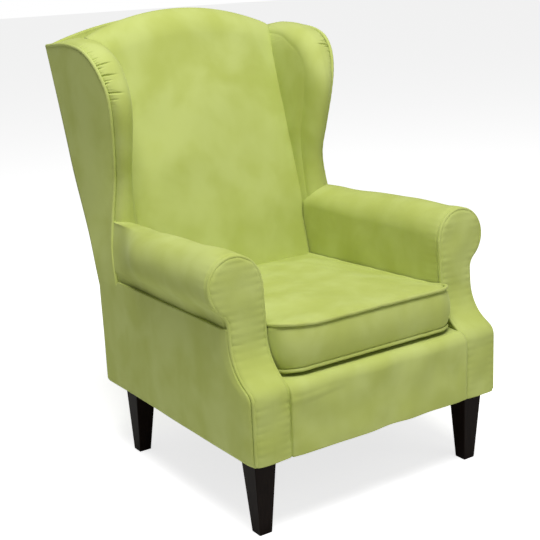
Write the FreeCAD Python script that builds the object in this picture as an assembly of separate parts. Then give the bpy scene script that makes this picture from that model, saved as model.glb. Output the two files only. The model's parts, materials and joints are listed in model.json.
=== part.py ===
import FreeCAD, Part
import math
import os
from FreeCAD import Vector

# Wingback armchair: hardwood frame, sprung seat, padded back, wings and rolled arms,
# a loose box cushion and four tapered legs. Millimetres, +Z up, front towards -Y.
# The origin is on the floor, under the middle of the chair's overall box.
# "Depth" below means the distance behind the front face of the base.

# Overall form
arch_peak_height = 1100.0
arch_sag = 48.0
rear_arch_drop = 16.0
rear_arch_rise = 59.0
wing_top_drop = 68.0
base_width = 700.0
base_depth = 680.0
leg_height = 183.0
kink_height = 440.0
recline = 19.1
inside_recline = 15.6
seat_slope = 2.2

# Arms
arm_height = 622.0
arm_inner_half = 252.0
roll_radius = 66.4
roll_underturn = 52.0
roll_hollow_share = 0.75
waist_half = 345.0
roll_end_setback = 65.0
arm_pad_thickness = 25.0
arm_pad_bottom = 300.0

# Curved arm front, seen from the side
nose_height = 328.0
nose_radius = 25.0
nose_turn = 60.0
shelf_length = 15.0
cove_radius = 109.0
scroll_lean = 3.4
facing_thickness = 16.0
bead = 8.0
bead_proud = 4.0

# Frame timber
rail_thickness = 30.0
rail_top = 318.0
rail_bottom = 187.0
panel_thickness = 8.0
post_width = 45.0
back_post_depth = 50.0
front_post_depth = 40.0
post_far_drop = 32.0
arm_rail_height = 44.0
lower_rail_height = 30.0
lower_rail_width = 23.0
block_leg = 60.0
block_height = 55.0
top_rail_drop = 40.0
top_rail_height = 70.0
top_rail_thickness = 28.0
wing_board_thickness = 15.0
wing_board_inner = 282.0
wing_board_setback = 30.0
back_cross_rail_height = 50.0
border_rise = 17.5
border_round = 22.0
border_setback = 1.0

# Seat and back suspension
spring_count = 5
spring_loops = 7
spring_wire = 4.0
spring_half_width = 42.0
spring_side_gap = 10.0
clip_width = 24.0
clip_length = 22.0
clip_thickness = 2.0
clip_clearance = 0.1
deck_thickness = 23.0
strap_count = 5
strap_width = 50.0
strap_thickness = 3.0
seat_gap = 0.3
deck_clearance = 0.8

# Inside back
back_whole_thickness = 78.0
inside_back_datum = 430.0
back_bottom = 328.0
back_pad_thickness = 55.0
back_crown = 14.0
back_top_round = 34.0
round_share_in = 0.22
round_share_down = 0.32

# Wings
wing_bulge = 26.0
wing_nose_facets = 8
wing_inner_half = 262.0
wing_inner_setback = 6.0

# Loose seat cushion
cushion_half_width = 248.0
cushion_front = 26.0
cushion_back_gap = 2.0
cushion_front_lift = 10.0
cushion_lift_length = 80.0
cushion_edge_height = 98.0
cushion_crown = 12.0
cushion_top_rise = 3.0
cushion_front_crown_share = 0.3
cushion_skin = 3.0
cushion_corner = 42.0
cushion_corner_power = 14
band_bulge = 9.0

# Legs and their fixings
foot_size = 32.0
leg_top_size = 56.0
rear_leg_rake = 18.0
foot_outer_half = 319.0
front_foot_depth = 36.0
rear_foot_setback = 51.0
bolt_diameter = 8.0
bolt_in_leg = 45.0
bolt_setback = 5.0
plate_size = 50.0
dust_cover_thickness = 1.5
dust_cover_setback = 4.0

# Extra reach of a tool that only cuts or trims, and the twist that still counts as flat
spare = 1.0
flatness = 0.0001

# Worked-out sizes
base_half = base_width / 2
tan_recline = math.tan(math.radians(recline))
tan_inside = math.tan(math.radians(inside_recline))
tan_seat = math.tan(math.radians(seat_slope))
rear_arch_peak_height = arch_peak_height - rear_arch_drop
wing_top_height = arch_peak_height - wing_top_drop
rear_reach = base_depth + (rear_arch_peak_height - kink_height) * tan_recline
front_y = -(rear_reach - bead_proud) / 2
facing_drop = nose_height - rail_top
roll_length_end = base_depth - roll_end_setback
inside_back_depth = base_depth - back_whole_thickness
rear_foot_depth = base_depth - rear_foot_setback
roll_x = arm_inner_half + roll_radius
roll_z = arm_height - roll_radius
panel_inner_half = base_half - panel_thickness
side_rail_inner = panel_inner_half - rail_thickness
post_inner = side_rail_inner - post_width
rail_rear = base_depth - panel_thickness
rear_rail_front = rail_rear - rail_thickness
spring_front = facing_thickness + rail_thickness / 2
spring_rear = rear_rail_front + rail_thickness / 2
spring_pitch_across = 2 * (arm_inner_half - spring_side_gap - spring_half_width) / (spring_count - 1)
rear_rail_top = rail_top - (spring_rear - spring_front) * tan_seat
arch_radius = (arm_inner_half ** 2 + arch_sag ** 2) / (2 * arch_sag)

# How the wing's front edge runs above the roll's seam: its share of the way from the arm's
# top to the wing's top, how far it stands forward of the back edge, and how far it leans in.
wing_foot_forward = 93.0
wing_foot_lean = 3.0
wing_stations = (
    (-0.195, 88.0, 15.0),
    (0.0, 110.0, 29.0),
    (0.19, 139.0, 36.0),
    (0.39, 189.0, 31.0),
    (0.58, 231.0, 24.0),
    (0.73, 258.0, 17.0),
    (0.85, 266.0, 8.0),
    (0.935, 246.0, 2.0),
    (1.0, 165.0, 0.0),
)


def at(x, depth, z):
    return Vector(x, front_y + depth, z)


def rear_depth(z):
    return base_depth + max(0.0, z - kink_height) * tan_recline


def inside_depth(z):
    return inside_back_depth + (z - inside_back_datum) * tan_inside


def spring_height(depth):
    return rail_top + clip_thickness + spring_wire / 2 - (depth - spring_front) * tan_seat


def deck_height(depth):
    return spring_height(depth) + spring_wire / 2 + deck_thickness


def turn(start, heading, angle, radius):
    """Middle and end of an arc that leaves start at a heading and turns by an angle (degrees, left is +)."""
    side = 1.0 if angle > 0 else -1.0
    normal = math.radians(heading + 90.0 * side)
    centre = (start[0] + radius * math.cos(normal), start[1] + radius * math.sin(normal))
    points = []
    for share in (0.5, 1.0):
        out = normal + math.pi + math.radians(angle) * share
        points.append((centre[0] + radius * math.cos(out), centre[1] + radius * math.sin(out)))
    return points[0], points[1]


def ahead(start, heading, length):
    direction = math.radians(heading)
    return (start[0] + length * math.cos(direction), start[1] + length * math.sin(direction))


def wire(steps, place):
    """A closed wire from steps (start, end) for a line or (start, middle, end) for an arc."""
    edges = []
    for step in steps:
        points = [place(*point) for point in step]
        if len(points) == 2:
            edges.append(Part.LineSegment(points[0], points[1]).toShape())
        else:
            edges.append(Part.Arc(points[0], points[1], points[2]).toShape())
    return Part.Wire(edges)


def lines(points):
    return [(a, b) for a, b in zip(points, points[1:] + points[:1])]


def across(steps, x_low, x_high):
    """A side-view outline (depth, height) carried across the chair."""
    face = Part.Face(wire(steps, lambda d, z: at(x_low, d, z)))
    return face.extrude(Vector(x_high - x_low, 0, 0))


def through(steps, depth_front, depth_back):
    """A front-view outline (x, height) carried from front to back."""
    face = Part.Face(wire(steps, lambda x, z: at(x, depth_front, z)))
    return face.extrude(Vector(0, depth_back - depth_front, 0))


def upward(steps, z_low, z_high):
    """A plan outline (x, depth) carried upward."""
    face = Part.Face(wire(steps, lambda x, d: at(x, d, z_low)))
    return face.extrude(Vector(0, 0, z_high - z_low))


def block(x_low, x_high, depth_front, depth_back, z_low, z_high):
    corner = at(x_low, depth_front, z_low)
    return Part.makeBox(x_high - x_low, depth_back - depth_front, z_high - z_low, corner)


def mirrored(shape):
    return shape.mirror(Vector(0, 0, 0), Vector(1, 0, 0))


def one_solid(shape):
    return max(shape.Solids, key=lambda solid: solid.Volume)


def front_curve(shift=0.0, drop=0.0, top=arm_height + roll_radius, bottom=None):
    """The arm front's S seen from the side, moved back and down, as steps from bottom to top."""
    low = (shift, leg_height if bottom is None else bottom)
    nose_start = (shift, nose_height - drop)
    nose_middle, nose_end = turn(nose_start, 90.0, -nose_turn, nose_radius)
    shelf_end = ahead(nose_end, 90.0 - nose_turn, shelf_length)
    cove = nose_turn - scroll_lean
    cove_middle, cove_end = turn(shelf_end, 90.0 - nose_turn, cove, cove_radius)
    rise = (top - cove_end[1]) / math.cos(math.radians(scroll_lean))
    high = ahead(cove_end, 90.0 - scroll_lean, rise)
    return [
        (low, nose_start),
        (nose_start, nose_middle, nose_end),
        (nose_end, shelf_end),
        (shelf_end, cove_middle, cove_end),
        (cove_end, high),
    ]


def curve_band(near, near_drop, far, far_drop, bottom, top, x_low, x_high):
    """The solid between two copies of the front curve."""
    front = front_curve(near, near_drop, top, bottom)
    back = front_curve(far, far_drop, top, bottom)
    back_reversed = [tuple(reversed(step)) for step in reversed(back)]
    steps = front + [(front[-1][-1], back[-1][-1])] + back_reversed + [(back[0][0], front[0][0])]
    return across(steps, x_low, x_high)


def arm_outline(offset=0.0, bottom=leg_height):
    """The arm front seen from ahead, right side, grown outward by an offset."""
    radius = roll_radius + offset
    inner = arm_inner_half - offset
    outer = waist_half + offset
    low = bottom
    angle = math.radians(-roll_underturn)
    left = (inner, roll_z)
    top = (roll_x, roll_z + radius)
    right = (roll_x + radius, roll_z)
    side = math.radians(-roll_underturn / 2)
    below = (roll_x + radius * math.cos(side), roll_z + radius * math.sin(side))
    leave = (roll_x + radius * math.cos(angle), roll_z + radius * math.sin(angle))
    heading = -90.0 - roll_underturn
    neck_radius = (leave[0] - outer) / (1 - math.cos(math.radians(roll_underturn)))
    neck_middle, neck_end = turn(leave, heading, roll_underturn, neck_radius)
    middle_left = (roll_x - radius * math.sqrt(0.5), roll_z + radius * math.sqrt(0.5))
    middle_right = (roll_x + radius * math.sqrt(0.5), roll_z + radius * math.sqrt(0.5))
    foot_outer = (base_half + offset, nose_height)
    return [
        ((inner, low), left),
        (left, middle_left, top),
        (top, middle_right, right),
        (right, below, leave),
        (leave, neck_middle, neck_end),
        (neck_end, foot_outer),
        (foot_outer, (base_half + offset, low)),
        ((base_half + offset, low), (inner, low)),
    ]


def neck_height():
    """Height of the seam under the roll, where the arm's neck ends."""
    return arm_outline()[4][-1][1]


def ruled_loft(wires):
    return Part.makeLoft(wires, True, True)


def polygon(points):
    return Part.Face(Part.makePolygon(points + points[:1]))


def stacked(levels):
    """A solid up through (height, steps) levels of straight steps, folded where a side is twisted."""
    faces = []
    for (low, low_steps), (high, high_steps) in zip(levels, levels[1:]):
        for lower, upper in zip(low_steps, high_steps):
            bottom = [at(x, d, low) for x, d in lower]
            top = [at(x, d, high) for x, d in upper]
            normal = (bottom[1] - bottom[0]).cross(top[0] - bottom[0]).normalize()
            if abs((top[1] - bottom[0]).dot(normal)) < flatness:
                faces.append(polygon([bottom[0], bottom[1], top[1], top[0]]))
            else:
                faces.append(polygon([bottom[0], bottom[1], top[1]]))
                faces.append(polygon([bottom[0], top[1], top[0]]))
    for height, steps in (levels[0], levels[-1]):
        faces.append(Part.Face(wire(steps, lambda x, d: at(x, d, height))))
    shell = Part.makeShell(faces)
    shell.sewShape()
    solid = Part.makeSolid(shell)
    if solid.Volume < 0:
        solid.reverse()
    return solid


def wing_edge(station, inset=0.0):
    height, forward, lean = station
    rear = rear_depth(height)
    return rear, rear - forward, base_half - lean - inset


def wing_levels():
    """Height, forward reach and lean of each level section, from the roll's seam up."""
    levels = [(neck_height(), wing_foot_forward, wing_foot_lean)]
    for share, forward, lean in wing_stations:
        levels.append((arm_height + share * (wing_top_height - arm_height), forward, lean))
    return levels


def wing_form():
    """The padded wing, right side, with a rounded front edge."""
    levels = []
    for station in wing_levels():
        height = station[0]
        rear, edge, outer = wing_edge(station, panel_thickness)
        rear = rear - panel_thickness
        inner = (wing_inner_half, edge + wing_inner_setback)
        nose = []
        for facet in range(1, wing_nose_facets):
            share = facet / wing_nose_facets
            angle = math.pi * share
            across_nose = (1 - math.cos(angle)) / 2
            nose.append((outer + (inner[0] - outer) * across_nose,
                         edge + wing_inner_setback * across_nose - wing_bulge * math.sin(angle)))
        corner = (arm_inner_half, inside_depth(height))
        pad_rear = (arm_inner_half, corner[1] + back_pad_thickness)
        post_side = (post_inner, pad_rear[1])
        points = [(panel_inner_half, rear), (outer, edge)] + nose
        points += [inner, corner, pad_rear, post_side, (post_inner, rear)]
        levels.append((height, lines(points)))
    return stacked(levels)


def wing_panel():
    """The tight outside cover of the wing on its stiff board."""
    levels = []
    for station in wing_levels():
        height = station[0]
        rear, edge, outer = wing_edge(station)
        levels.append((height, lines([
            (base_half, rear),
            (panel_inner_half, rear),
            (panel_inner_half, rear - panel_thickness),
            (outer - panel_thickness, edge),
            (outer, edge),
        ])))
    return stacked(levels)


def wing_board():
    """The plywood board inside the wing, between the arm and the top corner."""
    front = []
    rear = []
    for station in wing_levels()[3:-1]:
        height = station[0]
        front.append((wing_edge(station)[1] + wing_board_setback, height))
        rear.append((rear_depth(height) - panel_thickness - back_post_depth, height))
    outline = lines(front + [rear[-1], rear[0]])
    return across(outline, wing_board_inner, wing_board_inner + wing_board_thickness)


def arch_height(x, peak=arch_peak_height):
    return peak - (arch_radius - math.sqrt(arch_radius ** 2 - x ** 2))


def back_form():
    """The inside back: crowned across, arched along its top, lofted from side to side."""
    sections = []
    for share in (-1.0, -0.6, 0.0, 0.6, 1.0):
        x = share * arm_inner_half
        top = arch_height(x)
        crown = back_crown * (1 - share ** 2)
        round_z = top - back_top_round

        def face(z):
            return inside_depth(z) - crown

        rear_top = rear_depth(round_z) - panel_thickness
        peak = ((face(round_z) + rear_top) / 2, top)
        shoulder = top - round_share_down * back_top_round
        front_middle = (face(round_z) + round_share_in * (peak[0] - face(round_z)), shoulder)
        rear_middle = (rear_top - round_share_in * (rear_top - peak[0]), shoulder)
        low_rear = (rear_depth(kink_height) - panel_thickness, kink_height)
        steps = [
            ((face(back_bottom), back_bottom), (face(round_z), round_z)),
            ((face(round_z), round_z), front_middle, peak),
            (peak, rear_middle, (rear_top, round_z)),
            ((rear_top, round_z), low_rear),
            (low_rear, (low_rear[0], back_bottom)),
            ((low_rear[0], back_bottom), (face(back_bottom), back_bottom)),
        ]
        sections.append(wire(steps, lambda d, z, side=x: at(side, d, z)))
    return ruled_loft(sections)


def behind_back_pad(start, thickness, z_low, z_high, half):
    """A leaning slab parallel to the inside back, start behind its face."""
    low = inside_depth(z_low) + start
    high = inside_depth(z_high) + start
    outline = lines([(low, z_low), (high, z_high), (high + thickness, z_high), (low + thickness, z_low)])
    return across(outline, -half, half)


def arched_outline(half, bottom, peak, radius):
    """Front-view outline with an arched top."""
    sag = radius - math.sqrt(radius ** 2 - half ** 2)
    left = (-half, peak - sag)
    right = (half, peak - sag)
    return [
        ((-half, bottom), left),
        (left, (0.0, peak), right),
        (right, (half, bottom)),
        ((half, bottom), (-half, bottom)),
    ]


def back_cavity():
    """The space behind the back padding, up to the top rail."""
    peak = arch_peak_height - top_rail_drop
    outline = arched_outline(arm_inner_half + spare, back_bottom - spare, peak, arch_radius)
    space = through(outline, 0, rear_reach)
    slab = behind_back_pad(back_pad_thickness, base_depth, back_bottom - spare, arch_peak_height, base_half)
    return space.common(slab)


def top_rail():
    outer = arched_outline(post_inner, kink_height, arch_peak_height - top_rail_drop, arch_radius)
    inner = arched_outline(base_half, kink_height - spare,
                           arch_peak_height - top_rail_drop - top_rail_height, arch_radius)
    band = through(outer, 0, rear_reach).cut(through(inner, 0, rear_reach))
    slab = behind_back_pad(back_pad_thickness, top_rail_thickness, kink_height, arch_peak_height, base_half)
    return one_solid(band.common(slab))


def back_post():
    """Right back post, with the kink where the back starts to lean."""
    top = arch_height(arm_inner_half) - top_rail_drop - panel_thickness
    rear = [(rear_depth(z) - panel_thickness, z) for z in (rail_bottom, kink_height, top)]
    front = [(depth - back_post_depth, z) for depth, z in reversed(rear)]
    return across(lines(rear + front), post_inner, side_rail_inner)


def outside_back():
    rear = [(rear_depth(z), z) for z in (leg_height, kink_height, arch_peak_height)]
    front = [(depth - panel_thickness, z) for depth, z in reversed(rear)]
    sheet = across(lines(rear + front), -panel_inner_half, panel_inner_half)
    radius = (base_half ** 2 + rear_arch_rise ** 2) / (2 * rear_arch_rise)
    outline = arched_outline(panel_inner_half, leg_height, rear_arch_peak_height, radius)
    return one_solid(sheet.common(through(outline, 0, rear_reach + spare)))


def arm_pad():
    """The inside arm and its roll, right side, hollow where the frame stands."""
    outline = arm_outline()
    neck_end = outline[4][-1]
    inner_face = arm_inner_half + arm_pad_thickness
    under_roll = (inner_face, roll_z - roll_hollow_share * roll_radius)
    low = arm_pad_bottom
    steps = [((arm_inner_half, low), outline[0][1])] + outline[1:5] + [
        (neck_end, (neck_end[0] - panel_thickness, neck_end[1])),
        ((neck_end[0] - panel_thickness, neck_end[1]), under_roll),
        (under_roll, (inner_face, low)),
        ((inner_face, low), (arm_inner_half, low)),
    ]
    roll = through(steps, 0, roll_length_end)
    behind_facing = curve_band(facing_thickness, facing_drop, base_depth, facing_drop, low - spare,
                               arm_height + roll_radius, 0, base_width)
    return one_solid(roll.common(behind_facing))


def arm_facing():
    outline = through(arm_outline(), -bead, base_depth)
    band = curve_band(0, 0, facing_thickness, facing_drop, leg_height, arm_height + roll_radius,
                      0, base_width)
    return one_solid(band.common(outline))


def facing_bead():
    """The piping round the arm front, standing a little proud of the facing."""
    grown = through(arm_outline(bead_proud, leg_height + bead_proud), -bead, base_depth)
    core = through(arm_outline(bead_proud - bead, leg_height - bead), -bead, base_depth)
    ring = grown.cut(core)
    band = curve_band(-bead_proud, 0, bead - bead_proud, facing_drop / 2, leg_height + bead_proud,
                      arm_height + roll_radius, 0, base_width)
    return one_solid(band.common(ring))


def arm_side_panel():
    """The flat outside of the arm, below the roll's seam."""
    seam = neck_height()
    outline = [(facing_thickness, leg_height), (base_depth, leg_height), (base_depth, kink_height),
               (rear_depth(seam), seam), (facing_thickness, seam)]
    sheet = across(lines(outline), panel_inner_half, base_half)
    behind_facing = curve_band(facing_thickness, facing_drop, 2 * base_depth, facing_drop,
                               leg_height - spare, arm_height, 0, base_width)
    return one_solid(sheet.common(behind_facing))


def rail_cover():
    """The padded front border between the arm fronts, rounded over the rail and the clips."""
    depth_end = facing_thickness + rail_thickness
    high = rail_top + border_rise
    lip = rail_top + spring_wire + 2 * clip_thickness
    low_front = (border_setback, leg_height)
    start = (border_setback, high - border_round)
    middle, end = turn(start, 90.0, -90.0, border_round)
    back = [end, (depth_end, high), (depth_end, lip), (facing_thickness, lip),
            (facing_thickness, leg_height), low_front]
    steps = [(low_front, start), (start, middle, end)] + lines(back)[:-1]
    return across(steps, -arm_inner_half, arm_inner_half)


def flat_spring():
    """One serpentine spring laid level, as a six-sided wire lofted along its mitred run."""
    step = (spring_rear - spring_front) / (spring_loops + 1)
    flat = step / 4
    run = [(-clip_width / 2, 0.0)]
    side = 1.0
    for index in range(spring_loops + 1):
        reach = clip_width / 2 if index == 0 else spring_half_width - flat
        low = index * step
        run += [(side * reach, low), (side * spring_half_width, low + flat)]
        run += [(side * spring_half_width, low + step - flat)]
        last = index == spring_loops
        run += [(side * (clip_width / 2 if last else spring_half_width - flat), low + step)]
        side = -side
    run.append((side * clip_width / 2, spring_rear - spring_front))
    headings = [math.atan2(b[1] - a[1], b[0] - a[0]) for a, b in zip(run, run[1:])]
    sections = []
    for index, point in enumerate(run):
        before = headings[max(index - 1, 0)]
        after = headings[min(index, len(headings) - 1)]
        half_turn = math.remainder(after - before, 2 * math.pi) / 2
        normal = before + half_turn + math.pi / 2
        stretch = 1.0 / math.cos(half_turn)
        corners = []
        for corner in range(6):
            angle = math.pi / 3 * corner
            out = spring_wire / 2 * math.cos(angle) * stretch
            corners.append(Vector(point[0] + out * math.cos(normal), point[1] + out * math.sin(normal),
                                  spring_wire / 2 * math.sin(angle)))
        sections.append(Part.makePolygon(corners + corners[:1]))
    return ruled_loft(sections)


def seat_springs():
    spring = flat_spring()
    spring.rotate(Vector(0, 0, 0), Vector(1, 0, 0), -seat_slope)
    springs = []
    for index in range(spring_count):
        copy = spring.copy()
        copy.translate(at(spring_x(index), spring_front, spring_height(spring_front)))
        springs.append(copy)
    return Part.makeCompound(springs)


def spring_x(index):
    return (index - (spring_count - 1) / 2) * spring_pitch_across


def spring_clips():
    """A folded steel clip over each end of each spring, open towards the middle of the seat."""
    clips = []
    reach = clip_length / 2
    grip = spring_wire / 2 + clip_clearance
    for index in range(spring_count):
        x = spring_x(index)
        for depth, top, inward in ((spring_front, rail_top, 1), (spring_rear, rear_rail_top, -1)):
            body = block(x - clip_width / 2, x + clip_width / 2, depth - reach, depth + reach,
                         top, top + spring_wire + 2 * clip_thickness)
            near, far = sorted((depth - inward * grip, depth + inward * clip_length))
            wire_height = spring_height(depth)
            slot = block(x - clip_width, x + clip_width, near, far, wire_height - grip, wire_height + grip)
            clips.append(body.cut(slot))
    return Part.makeCompound(clips)


def seat_deck():
    """The felt and foam deck over the springs, sloping with them."""
    low = facing_thickness + rail_thickness
    high = rail_rear
    rise = spring_wire / 2 + clip_thickness + deck_clearance
    outline = lines([
        (low, spring_height(low) + rise),
        (low, deck_height(low)),
        (high, deck_height(high)),
        (high, spring_height(high) + rise),
    ])
    return across(outline, -arm_inner_half, arm_inner_half)


def back_straps():
    """Level webbing straps behind the back padding."""
    straps = []
    low = kink_height + strap_width
    pitch = (arch_height(arm_inner_half) - top_rail_drop - top_rail_height - strap_width - low) / strap_count
    for index in range(strap_count):
        z = low + index * pitch
        straps.append(behind_back_pad(back_pad_thickness, strap_thickness, z, z + strap_width, post_inner))
    return Part.makeCompound(straps)


def cushion_form(inset):
    """The box cushion on the deck: crowned top, bulged band and drawn-in front corners."""
    sections = []
    half = cushion_half_width - inset
    for share in (-1.0, -0.94, -0.65, 0.0, 0.65, 0.94, 1.0):
        x = share * half
        corner = cushion_corner * abs(share) ** cushion_corner_power
        front = cushion_front + corner + inset
        lift = cushion_crown * (1 - share ** 4)
        back_gap = back_crown * (1 - share ** 2) + cushion_back_gap + inset
        low_front = deck_height(front) + seat_gap + cushion_front_lift + inset
        contact = front + cushion_lift_length
        low_contact = deck_height(contact) + seat_gap + inset
        low_rear = deck_height(inside_depth(back_bottom) - back_crown) + seat_gap + inset
        height = cushion_edge_height - 2 * inset
        high_front = low_front + height + cushion_front_crown_share * lift
        high_rear = low_rear + height
        rear = inside_depth(low_rear) - back_gap
        rear_top = inside_depth(high_rear) - back_gap
        top_middle = ((front + rear_top) / 2, (high_front + high_rear) / 2 + lift + cushion_top_rise)
        band_middle = (front - band_bulge, (low_front + high_front) / 2)
        steps = [
            ((front, low_front), (contact, low_contact)),
            ((contact, low_contact), (rear, low_rear)),
            ((rear, low_rear), (rear_top, high_rear)),
            ((rear_top, high_rear), top_middle, (front, high_front)),
            ((front, high_front), band_middle, (front, low_front)),
        ]
        sections.append(wire(steps, lambda d, z, side=x: at(side, d, z)))
    return ruled_loft(sections)


def leg_centres():
    """Name, x and depth of each foot's centre, and the depth of the leg's top centre."""
    x = foot_outer_half - foot_size / 2
    front = front_foot_depth + foot_size / 2
    rear = rear_foot_depth - foot_size / 2
    rear_top = rear - rear_leg_rake
    return (("front_left", -x, front, front), ("front_right", x, front, front),
            ("rear_left", -x, rear, rear_top), ("rear_right", x, rear, rear_top))


def taper(foot_centre, top_centre):
    """One view of a leg, from its foot to its wider top."""
    foot = foot_size / 2
    top = leg_top_size / 2
    return lines([(foot_centre - foot, 0.0), (foot_centre + foot, 0.0),
                  (top_centre + top, leg_height), (top_centre - top, leg_height)])


def leg(x, depth, top_depth):
    """A square tapered leg; the rear legs also rake back towards the foot."""
    front_view = through(taper(x, x), 0, base_depth)
    return front_view.common(across(taper(depth, top_depth), -base_half, base_half))


def corner_blocks():
    """Triangular glue blocks that brace the rails and take the leg bolts."""
    pieces = []
    for side in (-1, 1):
        x = side * side_rail_inner
        front = facing_thickness + rail_thickness
        rear = rail_rear - back_post_depth
        inner = x - side * block_leg
        for corner, away in ((front, 1), (rear, -1)):
            plan = lines([(x, corner), (inner, corner), (x, corner + away * block_leg)])
            pieces.append(upward(plan, rail_bottom, rail_bottom + block_height))
    return pieces


def leg_bolts():
    bolts = []
    length = bolt_in_leg + block_height - bolt_setback
    for name, x, depth, top_depth in leg_centres():
        start = at(x, top_depth, leg_height - bolt_in_leg)
        bolts.append(Part.makeCylinder(bolt_diameter / 2, length, start))
    return bolts


def plate_space(x, depth, z_low, z_high):
    half = plate_size / 2
    return block(x - half, x + half, depth - half, depth + half, z_low, z_high)


def leg_plates(bolts):
    return [plate_space(x, top_depth, leg_height, rail_bottom).cut(bolt)
            for (name, x, depth, top_depth), bolt in zip(leg_centres(), bolts)]


def dust_cover():
    """The thin black cloth tacked under the seat frame, cut round the leg plates."""
    half = panel_inner_half - dust_cover_setback
    sheet = block(-half, half, facing_thickness + dust_cover_setback, rail_rear - dust_cover_setback,
                  rail_bottom - dust_cover_thickness, rail_bottom)
    for name, x, depth, top_depth in leg_centres():
        sheet = sheet.cut(plate_space(x, top_depth, leg_height, rail_top))
    return sheet


def build():
    pieces = {}
    bolts = leg_bolts()
    plates = leg_plates(bolts)
    blocks = corner_blocks()

    # Seat frame
    rail_front = facing_thickness
    pieces["front_seat_rail"] = block(-side_rail_inner, side_rail_inner, rail_front,
                                      rail_front + rail_thickness, rail_bottom, rail_top)
    pieces["rear_seat_rail"] = block(-post_inner, post_inner, rear_rail_front, rail_rear,
                                     rail_bottom, rear_rail_top)
    side_rail = block(side_rail_inner, panel_inner_half, rail_front, rail_rear, rail_bottom, rail_top)
    pieces["corner_blocks"] = Part.makeCompound([
        piece.cut(Part.makeCompound(bolts)) for piece in blocks])

    # Arm and back frame
    board_front = facing_thickness
    post_top = roll_z + arm_rail_height / 2
    post_profile = curve_band(board_front, facing_drop, board_front + front_post_depth,
                              facing_drop + post_far_drop, leg_height, post_top,
                              post_inner, side_rail_inner)
    front_post = one_solid(post_profile.common(block(0, base_width, 0, base_depth, rail_top, post_top)))
    post = back_post()
    arm_rail = block(post_inner, side_rail_inner, 0, base_depth,
                     roll_z - arm_rail_height / 2, roll_z + arm_rail_height / 2)
    rail_space = curve_band(board_front, facing_drop, base_depth - panel_thickness, facing_drop,
                            leg_height, arm_height, 0, base_width)
    arm_rail = one_solid(arm_rail.common(rail_space).cut(front_post).cut(post))
    lower_rail_x = arm_inner_half + arm_pad_thickness
    lower_rail = block(lower_rail_x, lower_rail_x + lower_rail_width, 0, base_depth,
                       rail_top, rail_top + lower_rail_height)
    lower_rail = one_solid(lower_rail.common(rail_space).cut(front_post).cut(post))
    pieces["back_top_rail"] = top_rail()
    cross_low = deck_height(rear_rail_front)
    pieces["back_cross_rail"] = block(-post_inner, post_inner, rear_rail_front, rail_rear,
                                      cross_low, cross_low + back_cross_rail_height)
    board = wing_board()

    # Suspension
    pieces["seat_springs"] = seat_springs()
    pieces["spring_clips"] = spring_clips()
    pieces["back_webbing"] = back_straps()

    # Covers and padding
    roll = arm_pad()
    arm_cover = one_solid(roll.cut(arm_rail).cut(front_post).cut(pieces["front_seat_rail"]))
    side_panel = one_solid(wing_panel().cut(roll))
    wing = wing_form()
    for hard in (roll, post, board, arm_rail):
        wing = wing.cut(hard)
    wing = one_solid(wing)
    back = back_form().cut(back_cavity())
    pieces["inside_back_pad"] = one_solid(back)
    pieces["outside_back_panel"] = outside_back()
    pieces["seat_deck_pad"] = seat_deck()
    bead_piece = facing_bead()
    pieces["front_rail_cover"] = one_solid(rail_cover().cut(bead_piece).cut(mirrored(bead_piece)))
    pieces["dust_cover"] = dust_cover()

    # Loose cushion
    core = cushion_form(cushion_skin)
    pieces["seat_cushion_cover"] = cushion_form(0.0).cut(core)
    pieces["seat_cushion_foam"] = core

    sided = {
        "side_seat_rail": side_rail,
        "front_post": front_post,
        "back_post": post,
        "arm_rail": arm_rail,
        "lower_arm_rail": lower_rail,
        "wing_board": board,
        "arm_pad": arm_cover,
        "wing_pad": wing,
        "wing_side_panel": side_panel,
        "arm_side_panel": arm_side_panel(),
        "arm_facing": one_solid(arm_facing().cut(bead_piece)),
        "facing_piping": bead_piece,
    }
    for name, shape in sided.items():
        pieces[name + "_right"] = shape
        pieces[name + "_left"] = mirrored(shape)

    # Legs
    for (name, x, depth, top_depth), bolt in zip(leg_centres(), bolts):
        pieces["leg_" + name] = leg(x, depth, top_depth).cut(bolt)
    pieces["leg_bolts"] = Part.makeCompound(bolts)
    pieces["leg_plates"] = Part.makeCompound(plates)
    return pieces


os.makedirs("parts", exist_ok=True)
for node, shape in build().items():
    shape.exportStep("parts/" + node + ".step")
    print(node, len(shape.Solids), "solids", round(shape.Volume / 1000.0, 1), "cm3", shape.isValid())
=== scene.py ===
import json
import math
import random

import bmesh
import bpy
from bpy.props import FloatProperty, FloatVectorProperty, PointerProperty
from mathutils import Matrix, Vector, noise


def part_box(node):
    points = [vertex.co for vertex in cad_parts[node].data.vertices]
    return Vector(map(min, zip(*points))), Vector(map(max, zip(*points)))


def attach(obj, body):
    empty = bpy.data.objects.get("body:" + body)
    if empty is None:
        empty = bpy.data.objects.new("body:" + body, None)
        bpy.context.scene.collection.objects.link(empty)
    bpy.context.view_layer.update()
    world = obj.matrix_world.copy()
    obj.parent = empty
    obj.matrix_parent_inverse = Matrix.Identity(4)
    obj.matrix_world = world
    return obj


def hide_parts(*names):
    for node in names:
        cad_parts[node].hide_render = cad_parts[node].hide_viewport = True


bl_info = {
    "name": "Wingback armchair",
    "version": (1, 0, 0),
    "blender": (4, 5, 0),
    "location": "View3D > Sidebar > Armchair",
    "description": "Dresses the armchair's frame in its covers, piping, cushion and legs",
    "category": "Object",
}

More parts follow.
